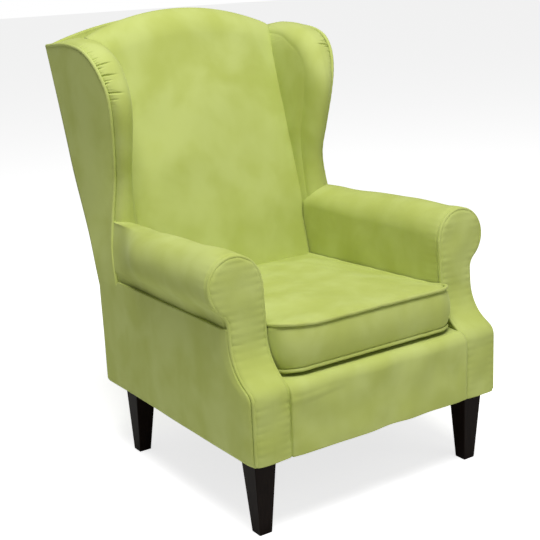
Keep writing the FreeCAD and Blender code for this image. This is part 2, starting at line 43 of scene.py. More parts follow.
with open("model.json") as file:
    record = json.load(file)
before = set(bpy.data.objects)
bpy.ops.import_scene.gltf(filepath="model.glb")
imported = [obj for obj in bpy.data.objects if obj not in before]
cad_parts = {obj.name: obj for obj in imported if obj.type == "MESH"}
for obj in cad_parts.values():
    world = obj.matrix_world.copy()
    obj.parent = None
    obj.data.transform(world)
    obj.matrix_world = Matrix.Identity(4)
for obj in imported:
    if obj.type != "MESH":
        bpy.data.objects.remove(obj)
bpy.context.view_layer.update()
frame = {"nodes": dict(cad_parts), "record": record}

# Sizes in metres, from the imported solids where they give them. x runs to the chair's left and
# right, depth runs back from the base's front, and z up. "Half" is half of a width over both sides.
arm_low, arm_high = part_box("arm_pad_right")
side_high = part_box("arm_side_panel_right")[1]

# Base and legs
FRONT_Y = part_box("front_rail_cover")[0].y - 0.001
BASE_HALF = side_high.x
BASE_DEPTH = side_high.y - FRONT_Y - 0.012
LEG_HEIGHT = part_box("leg_front_right")[1].z
LEG_FOOT = 0.032
BORDER_TOP = 0.341
BORDER_CORNER = 0.018

# Rolled arm: its cover starts low inside, goes over the roll and under it, and ends in a flange
ARM_INNER = arm_low.x
ARM_COVER_FOOT = 0.300
ROLL_RADIUS = (arm_high.x - arm_low.x) / 2
ROLL_X = ARM_INNER + ROLL_RADIUS
ROLL_Z = arm_high.z - ROLL_RADIUS
ROLL_UNDERTURN = math.radians(52)
ROLL_FLANGE = 0.012
ROLL_END = 0.640
WAIST_HALF = 0.345

# Arm front, seen from the front: the flat below the scroll, and the scroll within the roll
FACE_HALF = 0.3415
FACE_RADIUS = ROLL_RADIUS - 0.002

# Seat: where its deck starts, as depth and height, and how it falls to the rear
DECK_FRONT = (0.031, 0.347)
TAN_SEAT = math.tan(math.radians(2.2))

# Back: the outside is upright up to the kink and leans above it. The inside leans all the way
# from a datum of depth and height. Both end in an arch.
KINK_HEIGHT = 0.440
TAN_BACK = math.tan(math.radians(19.1))
TAN_INSIDE = math.tan(math.radians(15.6))
BACK_DATUM = (0.602, 0.430)
BACK_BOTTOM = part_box("inside_back_pad")[0].z
BACK_SHOULDER = 0.065
BACK_CROWN = 0.014
ARCH_PEAK = 1.100
ARCH_RADIUS = 0.6855
REAR_ARCH_PEAK = 1.084
REAR_ARCH_RISE = 0.059

PIPE_RADIUS = 0.0042
WING_PIPE_RADIUS = 0.0045

# Arm front, seen from the side: a round nose at the foot, a shelf, a cove and the lean above it
NOSE_HEIGHT = 0.323
NOSE_RADIUS = 0.025
NOSE_TURN = math.radians(60)
SHELF_LENGTH = 0.015
COVE_RADIUS = 0.109
SCROLL_LEAN = math.radians(3.4)

# Wing: its piped edge from the roll's seam, up the front, round the corner and back along the top,
# as depth, height and lean in from the side of the base. Then its inner face, how far its front
# swells past the edge, and how far the swelling falls back towards the inner face.
WING_EDGE = (
    (0.588, 0.453, 0.000), (0.617, 0.535, 0.009), (0.630, 0.620, 0.024), (0.629, 0.700, 0.035),
    (0.611, 0.780, 0.031), (0.595, 0.860, 0.024), (0.592, 0.920, 0.017), (0.608, 0.968, 0.008),
    (0.637, 1.001, 0.002), (0.674, 1.019, 0.000), (0.722, 1.028, 0.000), (0.790, 1.031, 0.000),
    (0.880, 1.024, 0.000),
)
WING_SEAM_Z = WING_EDGE[0][1]
WING_STATION_RISE = 0.081
WING_INNER = 0.262
WING_BULGE = 0.025
WING_ROUND = 0.030


def place(x, depth, z):
    """A point of the scene from the chair's own x, depth and height."""
    return Vector((x, FRONT_Y + depth, z))


def smooth(low, high, value):
    """0 up to low, 1 from high on and an eased step between them."""
    share = min(max((value - low) / (high - low), 0.0), 1.0)
    return share * share * (3 - 2 * share)


def between(a, b, share):
    return a + (b - a) * share


def front_depth(z):
    """Depth of the arm front's S curve at a height."""
    nose_top = NOSE_HEIGHT + NOSE_RADIUS * math.sin(NOSE_TURN)
    nose_back = NOSE_RADIUS * (1 - math.cos(NOSE_TURN))
    heading = math.pi / 2 - NOSE_TURN
    shelf_back = nose_back + SHELF_LENGTH * math.cos(heading)
    shelf_top = nose_top + SHELF_LENGTH * math.sin(heading)
    centre_depth = shelf_back - COVE_RADIUS * math.sin(heading)
    centre_z = shelf_top + COVE_RADIUS * math.cos(heading)
    cove_top = centre_z - COVE_RADIUS * math.sin(SCROLL_LEAN)
    if z < NOSE_HEIGHT:
        return 0.0
    if z < nose_top:
        return NOSE_RADIUS - math.sqrt(NOSE_RADIUS ** 2 - (z - NOSE_HEIGHT) ** 2)
    if z < shelf_top:
        return nose_back + (z - nose_top) / math.tan(heading)
    if z < cove_top:
        return centre_depth + math.sqrt(COVE_RADIUS ** 2 - (centre_z - z) ** 2)
    cove_back = centre_depth + COVE_RADIUS * math.cos(SCROLL_LEAN)
    return cove_back + (z - cove_top) * math.tan(SCROLL_LEAN)


def inside_depth(z):
    """Depth of the inside back's lean at a height."""
    return BACK_DATUM[0] + (z - BACK_DATUM[1]) * TAN_INSIDE


def rear_depth(z):
    """Depth of the chair's rear at a height."""
    return BASE_DEPTH + max(0.0, z - KINK_HEIGHT) * TAN_BACK


def deck_height(depth):
    """Height of the seat's deck at a depth."""
    return DECK_FRONT[1] - (depth - DECK_FRONT[0]) * TAN_SEAT


def arch_height(x):
    """Top of the inside back."""
    return ARCH_PEAK - (ARCH_RADIUS - math.sqrt(ARCH_RADIUS ** 2 - x * x))


def rear_arch_height(x):
    """Top of the outside back, level with the wings at its ends."""
    radius = (BASE_HALF ** 2 + REAR_ARCH_RISE ** 2) / (2 * REAR_ARCH_RISE)
    return REAR_ARCH_PEAK - (radius - math.sqrt(radius ** 2 - x * x))


def arm_sides(z):
    """Inner and outer x of the arm's front outline at a height."""
    leave_z = ROLL_Z - FACE_RADIUS * math.sin(ROLL_UNDERTURN)
    leave_x = ROLL_X + FACE_RADIUS * math.cos(ROLL_UNDERTURN)
    neck_radius = (leave_x - FACE_HALF) / (1 - math.cos(ROLL_UNDERTURN))
    neck_z = leave_z - neck_radius * math.sin(ROLL_UNDERTURN)
    inner = ARM_INNER
    if z > ROLL_Z:
        inner = ROLL_X - math.sqrt(max(FACE_RADIUS ** 2 - (z - ROLL_Z) ** 2, 0.0))
    if z < neck_z:
        outer = FACE_HALF
    elif z < leave_z:
        outer = FACE_HALF + neck_radius - math.sqrt(neck_radius ** 2 - (z - neck_z) ** 2)
    else:
        outer = ROLL_X + math.sqrt(max(FACE_RADIUS ** 2 - (z - ROLL_Z) ** 2, 0.0))
    return inner, outer


def roll_outline(share, grow=0.0):
    """Point (x, z) and outward direction along the arm's cover, from low inside to its flange."""
    leave = (ROLL_X + ROLL_RADIUS * math.cos(ROLL_UNDERTURN),
             ROLL_Z - ROLL_RADIUS * math.sin(ROLL_UNDERTURN))
    neck_radius = (leave[0] - WAIST_HALF) / (1 - math.cos(ROLL_UNDERTURN))
    rise = ROLL_Z - ARM_COVER_FOOT
    turn = math.pi + ROLL_UNDERTURN
    lengths = (rise, ROLL_RADIUS * turn, neck_radius * ROLL_UNDERTURN, ROLL_FLANGE)
    run = share * sum(lengths)
    neck_end = leave[1] - neck_radius * math.sin(ROLL_UNDERTURN)
    if run < lengths[0]:
        point, out = (ARM_INNER, ARM_COVER_FOOT + run), (-1.0, 0.0)
    elif run < lengths[0] + lengths[1]:
        angle = math.pi - (run - lengths[0]) / ROLL_RADIUS
        out = (math.cos(angle), math.sin(angle))
        point = (ROLL_X + ROLL_RADIUS * out[0], ROLL_Z + ROLL_RADIUS * out[1])
    elif run > sum(lengths[:3]):
        point, out = (WAIST_HALF, neck_end - (run - sum(lengths[:3]))), (1.0, 0.0)
    else:
        angle = (run - lengths[0] - lengths[1]) / neck_radius
        heading = ROLL_UNDERTURN - angle
        centre = (WAIST_HALF + neck_radius, neck_end)
        point = (centre[0] - neck_radius * math.cos(heading),
                 centre[1] + neck_radius * math.sin(heading))
        out = (math.cos(heading), -math.sin(heading))
    return (point[0] + out[0] * grow, point[1] + out[1] * grow), out


def wing_edge(share):
    """Depth, height and lean along the wing's piped edge, and the outward direction across it.

    The edge is a smooth curve (Catmull-Rom) through the stations of WING_EDGE.
    """
    last = len(WING_EDGE) - 1
    station = min(max(share, 0.0), 1.0) * last
    index = min(int(station), last - 1)
    local = station - index
    knots = [Vector(WING_EDGE[min(max(index + step, 0), last)]) for step in (-1, 0, 1, 2)]
    a, b, c, d = knots
    point = 0.5 * (2 * b + (c - a) * local + (2 * a - 5 * b + 4 * c - d) * local ** 2
                   + (3 * b - a - 3 * c + d) * local ** 3)
    ahead = 0.5 * ((c - a) + 2 * (2 * a - 5 * b + 4 * c - d) * local
                   + 3 * (3 * b - a - 3 * c + d) * local ** 2)
    out = Vector((-ahead.y, ahead.x)).normalized()
    return point, out


def along_edge(row):
    """Share of the wing's edge at a row, with most of the rows where the gathers are."""
    if row < 0.22:
        return row / 0.22 * 0.45
    if row < 0.85:
        return 0.45 + (row - 0.22) / 0.63 * 0.36
    return 0.81 + (row - 0.85) / 0.15 * 0.19


def ripple(share, count, seed):
    """Uneven waves between -1 and 1 along a seam, for puckers."""
    wave = math.sin(2 * math.pi * count * share + seed)
    return wave * (0.5 + 0.5 * noise.noise(Vector((share * count * 0.7, seed, 0.0))))


def soften(point, amount, size, seed):
    """Slow unevenness of stuffed cloth, in metres."""
    return amount * noise.noise(Vector(point) / size + Vector((seed, seed, seed)))


# Turning shapes into pieces

def settle(name, bm, material, rides="chair"):
    """Closes a bmesh into a smooth piece that rides a body."""
    bmesh.ops.recalc_face_normals(bm, faces=bm.faces)
    mesh = bpy.data.meshes.new(name)
    bm.to_mesh(mesh)
    bm.free()
    mesh.materials.append(material)
    for face in mesh.polygons:
        face.use_smooth = True
    piece = bpy.data.objects.new(name, mesh)
    bpy.context.scene.collection.objects.link(piece)
    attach(piece, rides)
    return piece


def formed(surface, columns, rows):
    """A grid whose points follow surface(u, v), with u and v from 0 to 1."""
    bm = bmesh.new()
    bmesh.ops.create_grid(bm, x_segments=columns, y_segments=rows, size=0.5)
    for vert in bm.verts:
        vert.co = surface(vert.co.x + 0.5, vert.co.y + 0.5)
    bmesh.ops.remove_doubles(bm, verts=bm.verts, dist=0.00005)
    return bm


def close_holes(bm):
    """Fills the open ends of a padded shape."""
    bmesh.ops.holes_fill(bm, edges=[edge for edge in bm.edges if edge.is_boundary], sides=0)


def thicken(bm, wall, outward):
    """Gives an open cover its wall, on the side away from outward."""
    bmesh.ops.recalc_face_normals(bm, faces=bm.faces)
    facing = sum(face.normal.dot(Vector(outward)) for face in bm.faces)
    bmesh.ops.solidify(bm, geom=bm.faces[:], thickness=wall if facing < 0 else -wall)


def flip_side(bm):
    """Turns a right-hand shape into the left-hand one."""
    bmesh.ops.scale(bm, vec=(-1, 1, 1), verts=bm.verts)
    bmesh.ops.reverse_faces(bm, faces=bm.faces)


def piping(name, points, material, radius=PIPE_RADIUS, rides="chair", closed=False):
    """Round cord in its own cloth along points."""
    curve = bpy.data.curves.new(name + "_line", "CURVE")
    curve.dimensions = "3D"
    curve.bevel_depth = radius
    curve.bevel_resolution = 3
    curve.use_fill_caps = True
    line = curve.splines.new("POLY")
    line.points.add(len(points) - 1)
    line.use_cyclic_u = closed
    for knot, point in zip(line.points, points):
        knot.co = (point.x, point.y, point.z, 1.0)
    holder = bpy.data.objects.new(name + "_line", curve)
    mesh = bpy.data.meshes.new_from_object(holder)
    bpy.data.objects.remove(holder)
    bm = bmesh.new()
    bm.from_mesh(mesh)
    bpy.data.meshes.remove(mesh)
    bmesh.ops.remove_doubles(bm, verts=bm.verts, dist=0.00005)
    return settle(name, bm, material, rides)


# Materials

def colour(code):
    """An sRGB hex colour as linear values."""
    channels = [int(code[i:i + 2], 16) / 255 for i in (1, 3, 5)]
    linear = [c / 12.92 if c <= 0.04045 else ((c + 0.055) / 1.055) ** 2.4 for c in channels]
    return (*linear, 1.0)


def add_node(tree, kind, settings=(), links=()):
    """A node with its values, and links from (node, output) to its inputs."""
    node = tree.nodes.new(kind)
    for key, value in dict(settings).items():
        if isinstance(key, str) and hasattr(node, key):
            setattr(node, key, value)
        else:
            node.inputs[key].default_value = value
    for socket, (source, output) in dict(links).items():
        tree.links.new(source.outputs[output], node.inputs[socket])
    return node


def new_material(name):
    """A material with an empty node tree."""
    material = bpy.data.materials.new(name)
    material.use_nodes = True
    material.node_tree.nodes.clear()
    return material, material.node_tree


def finish_material(tree, shader):
    """Links a shader to the material's output."""
    add_node(tree, "ShaderNodeOutputMaterial", links={"Surface": (shader, "BSDF")})


def microsuede():
    """Brushed polyester microsuede: dull, its short nap lying lighter or darker in soft patches."""
    settings = bpy.context.scene.armchair
    material, tree = new_material("lime_microsuede")
    coordinates = add_node(tree, "ShaderNodeTexCoord")
    patch_size = settings.nap_patch
    stroke_size = patch_size / 2.2
    # Broad patches, and the shorter strokes of a hand that are drawn out upwards
    broad = add_node(tree, "ShaderNodeTexNoise",
                     {"Scale": 1 / patch_size, "Detail": 3.0, "Roughness": 0.5, "Distortion": 0.6},
                     {"Vector": (coordinates, "Object")})
    stroke_space = add_node(tree, "ShaderNodeMapping", {"Scale": (1.0, 1.0, 0.75)},
                            {"Vector": (coordinates, "Object")})
    strokes = add_node(tree, "ShaderNodeTexNoise",
                       {"Scale": 1 / stroke_size, "Detail": 2.0, "Roughness": 0.45,
                        "Distortion": 0.3},
                       {"Vector": (stroke_space, "Vector")})
    mixed = add_node(tree, "ShaderNodeMix", {"data_type": "FLOAT", 0: 0.45},
                     {2: (broad, "Fac"), 3: (strokes, "Fac")})
    ramp = add_node(tree, "ShaderNodeValToRGB", links={"Fac": (mixed, 0)})
    ramp.color_ramp.interpolation = "EASE"
    ramp.color_ramp.elements[0].position = 0.34
    ramp.color_ramp.elements[0].color = settings.nap_dark
    ramp.color_ramp.elements[1].position = 0.66
    ramp.color_ramp.elements[1].color = settings.nap_light
    # The nap's fibres are about 0.1 mm apart, and drawn coarser so that they show
    grain_size = 0.0014
    grain = add_node(tree, "ShaderNodeTexNoise", {"Scale": 1 / grain_size, "Detail": 1.0},
                     {"Vector": (coordinates, "Object")})
    bump = add_node(tree, "ShaderNodeBump", {"Strength": 0.12, "Distance": 0.0004},
                    {"Height": (grain, "Fac")})
    shader = add_node(tree, "ShaderNodeBsdfPrincipled",
                      {"Roughness": 0.92, "Specular IOR Level": 0.2, "Sheen Weight": 0.25,
                       "Sheen Roughness": 0.45, "Sheen Tint": colour("#E6F0B4")},
                      {"Base Color": (ramp, "Color"), "Normal": (bump, "Normal")})
    finish_material(tree, shader)
    return material


def plain_material(name, code, roughness, grain=None, metallic=0.0, specular=0.3):
    """One colour, with a streaked or woven second tone where grain gives its size and stretch."""
    material, tree = new_material(name)
    shader = add_node(tree, "ShaderNodeBsdfPrincipled",
                      {"Base Color": colour(code), "Roughness": roughness, "Metallic": metallic,
                       "Specular IOR Level": specular})
    if grain:
        second, size, stretch = grain
        coordinates = add_node(tree, "ShaderNodeTexCoord")
        space = add_node(tree, "ShaderNodeMapping", {"Scale": stretch},
                         {"Vector": (coordinates, "Object")})
        streaks = add_node(tree, "ShaderNodeTexNoise", {"Scale": 1 / size, "Detail": 4.0},
                           {"Vector": (space, "Vector")})
        ramp = add_node(tree, "ShaderNodeValToRGB", links={"Fac": (streaks, "Fac")})
        ramp.color_ramp.elements[0].position = 0.35
        ramp.color_ramp.elements[0].color = colour(code)
        ramp.color_ramp.elements[1].position = 0.65
        ramp.color_ramp.elements[1].color = colour(second)
        tree.links.new(ramp.outputs["Color"], shader.inputs["Base Color"])
    finish_material(tree, shader)
    return material


def material_named(name):
    """The scene's materials, each made once."""
    if name in bpy.data.materials:
        return bpy.data.materials[name]
    if name == "lime_microsuede":
        return microsuede()
    made = {
        # Beech stained almost black, sprayed satin: a soft sheen with hardly any grain
        "stained_beech": lambda: plain_material(
            name, "#150E0A", 0.42, ("#1C1410", 0.004, (1, 1, 0.08)), specular=0.06),
        # Planed beech without a finish: pale, dull, fine streaks
        "planed_beech": lambda: plain_material(
            name, "#B98F60", 0.7, ("#A67C50", 0.006, (1, 1, 0.15))),
        # Birch plywood: paler than the rails
        "birch_plywood": lambda: plain_material(
            name, "#C9A877", 0.65, ("#B8945F", 0.01, (1, 0.2, 0.2))),
        # Open-cell foam: off-white and dull
        "seat_foam": lambda: plain_material(name, "#E9DFBC", 0.95),
        # Woven elastic webbing: black with a slight thread
        "elastic_webbing": lambda: plain_material(
            name, "#1C1C1C", 0.85, ("#2B2B2B", 0.002, (1, 1, 1))),
        # Spun black lining cloth: flat and dull
        "black_lining": lambda: plain_material(name, "#121212", 0.95),
        # Zinc-plated spring steel: pale grey metal, slightly rough
        "zinc_steel": lambda: plain_material(name, "#B4B4B6", 0.35, metallic=1.0),
    }
    return made[name]()


class ArmchairSettings(bpy.types.PropertyGroup):
    """What a user would change."""
    nap_patch: FloatProperty(
        name="Nap patch", description="Width of the soft light and dark patches",
        default=0.16, subtype="DISTANCE", unit="LENGTH")
    nap_light: FloatVectorProperty(
        name="Light nap", description="Cloth colour where the nap lies up",
        default=colour("#C2CC79"), size=4, min=0.0, max=1.0, subtype="COLOR")
    nap_dark: FloatVectorProperty(
        name="Dark nap", description="Cloth colour where the nap lies down",
        default=colour("#B6C064"), size=4, min=0.0, max=1.0, subtype="COLOR")
    pleat_depth: FloatProperty(
        name="Pleat depth", description="Depth of the gathers round the wings' top",
        default=0.0040, subtype="DISTANCE", unit="LENGTH")
    cushion_crown: FloatProperty(
        name="Cushion crown", description="Rise of the cushion's top over its edge",
        default=0.020, subtype="DISTANCE", unit="LENGTH")
    key_power: FloatProperty(
        name="Key light", description="Power of the large light",
        default=134.0, subtype="POWER", unit="POWER")


SIDES = (("left", -1), ("right", 1))


class ARMCHAIR_OT_wings(bpy.types.Operator):
    """Padded wings with gathers round their top corner, piped along the outer edge"""
    bl_idname = "armchair.wings"
    bl_label = "Wings"

    hem, scroll = 0.03, 0.45    # columns that end the turned-in hem and the padded scroll
    pleat_width = 0.0029

    def pleats_of(self, side):
        """Where each gather starts on the edge, its strength, its slant and how far it reaches."""
        dice = random.Random(5 + side)
        pleats = [(0.470 + 0.0165 * step + dice.uniform(-0.006, 0.006), dice.uniform(0.3, 0.9),
                   dice.uniform(-0.03, 0.01), dice.uniform(0.12, 0.40)) for step in range(20)]
        for strong in (2, 6, 9):
            pleats[strong] = (pleats[strong][0], 1.15, pleats[strong][2], 0.62)
        return pleats[7:14] if side > 0 else pleats

    def surface(self, side, depth_of_pleat):
        pleats = self.pleats_of(side)

        def shape(u, row):
            v = along_edge(row)
            edge, out = wing_edge(v)
            outer = BASE_HALF - edge.z - 0.004
            height = edge.y
            top_run = smooth(0.72, 0.86, v)
            bulge = WING_BULGE - 0.013 * smooth(0.42, 0.58, v) + 0.004 * top_run
            bulge -= 0.006 * smooth(0.90, 1.0, v)
            rounding = WING_ROUND * smooth(0.12, 0.36, v) - 0.016 * top_run
            crest = 0.40
            if u < self.hem:
                depth, z = edge.x - out.x * 0.004, height - out.y * 0.004
                x = outer - 0.035 * (1 - u / self.hem)
            elif u < self.scroll:
                across = 0.5 - 0.5 * math.cos(math.pi * (u - self.hem) / (self.scroll - self.hem))
                x = between(outer, WING_INNER, across)
                if across < crest:
                    shift = bulge * math.sqrt(1 - (1 - across / crest) ** 2) - 0.002
                else:
                    fall = math.sqrt(max(1 - ((across - crest) / (1 - crest)) ** 2, 0.0))
                    shift = (bulge + rounding) * fall - rounding - 0.002 * (1 - across)
                gather = sum(size * math.exp(-((v - at - slant * across) / self.pleat_width) ** 2)
                             * (1 - smooth(0.3 * reach, reach, across))
                             for at, size, slant, reach in pleats)
                shift -= depth_of_pleat * gather * smooth(0.0, 0.02, across)
                shift += 0.0006 * ripple(v, 60, 2.0) * (1 - smooth(0.0, 0.3, across))
                depth, z = edge.x + out.x * shift, height + out.y * shift
            else:
                inward = (u - self.scroll) / (1 - self.scroll)
                climb = smooth(0.0, 0.80, v) * 0.35 + 0.65 * min(v / 0.80, 1.0)
                z_spine = between(0.440, 0.985, climb)
                spine = (inside_depth(z_spine) + 0.030 + 0.05 * top_run, z_spine - 0.02 * top_run)
                depth = between(edge.x - out.x * rounding, spine[0], inward)
                z = between(height - out.y * rounding, spine[1], inward)
                pad = math.sin(math.pi * min(inward * 1.05, 1.0)) ** 0.7
                x = between(WING_INNER, ARM_INNER + 0.001, inward) - 0.004 * pad
            point = place(x, depth, z)
            point.x += soften(point, 0.003, 0.11, 3.0 * side) * min(u * 3, 1.0)
            return point
        return shape

    def execute(self, context):
        cloth = material_named("lime_microsuede")
        pleat = context.scene.armchair.pleat_depth
        for name, side in SIDES:
            bm = formed(self.surface(side, pleat), 90, 460)
            if side < 0:
                flip_side(bm)
            close_holes(bm)
            wing = settle("wing_" + name, bm, cloth)
            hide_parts("wing_pad_" + name)
            points = []
            for step in range(150):
                edge, out = wing_edge(step / 149)
                wobble = 0.0005 * ripple(step / 149, 38, side)
                x = side * (BASE_HALF - edge.z - 0.0005 + wobble)
                points.append(place(x, edge.x + out.x * 0.002, edge.y + out.y * 0.002))
            pipe = piping("wing_piping_" + name, points, cloth, radius=WING_PIPE_RADIUS)
        return {"FINISHED"}


class ARMCHAIR_OT_sides(bpy.types.Operator):
    """Tight outside covers of the arms and wings"""
    bl_idname = "armchair.sides"
    bl_label = "Outside arms and wings"

    split = 0.70    # columns in front of the wing's seam
    columns = 110

    def cover_point(self, depth, z, lean):
        """A point of the cover, drawn in under the roll, at the hem and at the front seam."""
        tuck = 0.0015 * smooth(0.330, 0.470, z) * (1 - smooth(0.35, 0.58, depth))
        hem = 0.004 * (1 - smooth(0.0, 0.008, z - LEG_HEIGHT))
        front_in = 0.0045 * (1 - smooth(0.0, 0.03, depth - front_depth(min(z, ROLL_Z))))
        point = place(BASE_HALF - 0.0022 - tuck - hem - lean - front_in, depth, z)
        point.x += soften(point, 0.0024, 0.16, 1.0)
        return point

    def lower(self, u, v):
        """Below the roll's seam, with columns behind the split shared with the wing."""
        edge_depth, edge_z, lean = WING_EDGE[0]
        z = between(LEG_HEIGHT + 0.001, edge_z, v)
        if u < self.split:
            depth = between(front_depth(z) + 0.003, edge_depth, u / self.split)
        else:
            depth = between(edge_depth, rear_depth(z), (u - self.split) / (1 - self.split))
        z += 0.016 * smooth(0.9, 1.0, v) * (1 - smooth(0.575, 0.588, depth))
        return self.cover_point(depth, z, lean)

    def upper(self, u, v):
        """From the wing's piped edge back to the rear corner."""
        edge = wing_edge(v * 0.985)[0]
        rear_z = between(WING_SEAM_Z, rear_arch_height(BASE_HALF), v ** 1.25)
        depth = between(edge.x, rear_depth(rear_z), u)
        return self.cover_point(depth, between(edge.y, rear_z, u), edge.z * (1 - u))

    def execute(self, context):
        cloth = material_named("lime_microsuede")
        for name, side in SIDES:
            bm = formed(self.lower, self.columns, 80)
            wing = formed(self.upper, round(self.columns * (1 - self.split)), 110)
            mesh = bpy.data.meshes.new("wing_cover")
            wing.to_mesh(mesh)
            wing.free()
            bm.from_mesh(mesh)
            bpy.data.meshes.remove(mesh)
            bmesh.ops.remove_doubles(bm, verts=bm.verts, dist=0.0001)
            thicken(bm, 0.005, (1, 0, 0))
            if side < 0:
                flip_side(bm)
            piece = settle("outside_side_" + name, bm, cloth)
            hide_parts("arm_side_panel_" + name, "wing_side_panel_" + name)
        return {"FINISHED"}


class ARMCHAIR_OT_arms(bpy.types.Operator):
    """Inside arms and rolls in one cover, drawn tight at the arm fronts"""
    bl_idname = "armchair.arms"
    bl_label = "Rolled arms"

    def surface(self, side):
        def shape(u, v):
            (x, z), out = roll_outline(u)
            start = front_depth(z) + 0.006
            rear = ROLL_END
            wing_x = x
            if out[0] > -0.2:
                stations = min(max((z - WING_SEAM_Z) / WING_STATION_RISE, 0.0), 2.0)
                edge = wing_edge(stations / (len(WING_EDGE) - 1))[0]
                rear = between(ROLL_END, edge.x + 0.006, smooth(-0.2, 0.3, out[0]))
                wing_x = min(x, BASE_HALF - edge.z + 0.002)
            depth = between(start, rear, v ** 1.35)
            x = between(x, wing_x, smooth(0.40, 0.60, depth))
            near = depth - start
            grow = -0.0050 * (1 - smooth(0.0, 0.008, near))
            pucker = math.exp(-near / 0.022) * smooth(0.0, 0.004, near)
            grow += 0.0011 * ripple(u, 34, side) * pucker
            if out[0] > -0.2:
                grow -= 0.005 * (1 - smooth(0.0, 0.008, rear - depth))
            grow += soften((x * side, depth, z), 0.004, 0.10, 7.0) * smooth(0.0, 0.05, near)
            sink = between(-0.003, 0.014, smooth(0.05, 0.62, depth)) * max(out[1], 0.0)
            return place(x + out[0] * grow, depth, z + out[1] * grow - sink)
        return shape

    def execute(self, context):
        cloth = material_named("lime_microsuede")
        for name, side in SIDES:
            bm = formed(self.surface(side), 120, 130)
            close_holes(bm)
            if side < 0:
                flip_side(bm)
            arm = settle("arm_" + name, bm, cloth)
            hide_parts("arm_pad_" + name)
        return {"FINISHED"}


class ARMCHAIR_OT_arm_fronts(bpy.types.Operator):
    """Curved arm fronts, each edged with piping"""
    bl_idname = "armchair.arm_fronts"
    bl_label = "Arm fronts"

    knee = 0.520        # height from which the rows draw together towards the top
    knee_row = 0.78

    def surface(self, side):
        top = ROLL_Z + FACE_RADIUS
        knee, knee_row = self.knee, self.knee_row

        def shape(u, v):
            if v < knee_row:
                z = between(LEG_HEIGHT, knee, v / knee_row)
            else:
                turn = (v - knee_row) / (1 - knee_row) * math.pi / 2
                z = knee + (top - knee) * math.sin(turn)
            inner, outer = arm_sides(min(z, top - 0.0002))
            x = between(inner, outer, u)
            rim = min(x - inner, outer - x, top - z)
            if z > ROLL_Z:
                rim = max(FACE_RADIUS - math.hypot(x - ROLL_X, z - ROLL_Z), 0.0)
            puff = 0.0035 * (1 - math.exp(-rim / 0.020)) - 0.0030
            puff -= 0.0045 * math.exp(-(max(rim - 0.0035, 0.0) / 0.0025) ** 2)
            pucker = math.exp(-rim / 0.016) * smooth(0.002, 0.008, rim)
            puff += 0.0014 * ripple(z / 0.45, 26, side) * pucker
            puff += soften((x * side, 0.0, z), 0.0026, 0.05, 11.0)
            return place(x, front_depth(z) - puff, z)
        return shape

    def outline(self, side):
        """The piping's line: up the inner edge, over the scroll and down the outer edge."""
        points = []
        foot = LEG_HEIGHT + 0.004
        for step in range(91):
            z = foot + (ROLL_Z - LEG_HEIGHT - 0.004) * step / 90
            points.append(place(side * ARM_INNER, front_depth(z), z))
        for step in range(1, 60):
            turn = math.pi - (math.pi + ROLL_UNDERTURN) * step / 60
            z = ROLL_Z + FACE_RADIUS * math.sin(turn)
            points.append(place(side * (ROLL_X + FACE_RADIUS * math.cos(turn)), front_depth(z), z))
        low = ROLL_Z - FACE_RADIUS * math.sin(ROLL_UNDERTURN)
        for step in range(81):
            z = between(low, foot, step / 80)
            points.append(place(side * arm_sides(z)[1], front_depth(z), z))
        return points

    def execute(self, context):
        cloth = material_named("lime_microsuede")
        for name, side in SIDES:
            bm = formed(self.surface(side), 80, 180)
            thicken(bm, 0.008, (0, -1, 0))
            if side < 0:
                flip_side(bm)
            facing = settle("arm_front_" + name, bm, cloth)
            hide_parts("arm_facing_" + name)
            pipe = piping("arm_front_piping_" + name, self.outline(side), cloth)
            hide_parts("facing_piping_" + name)
        return {"FINISHED"}


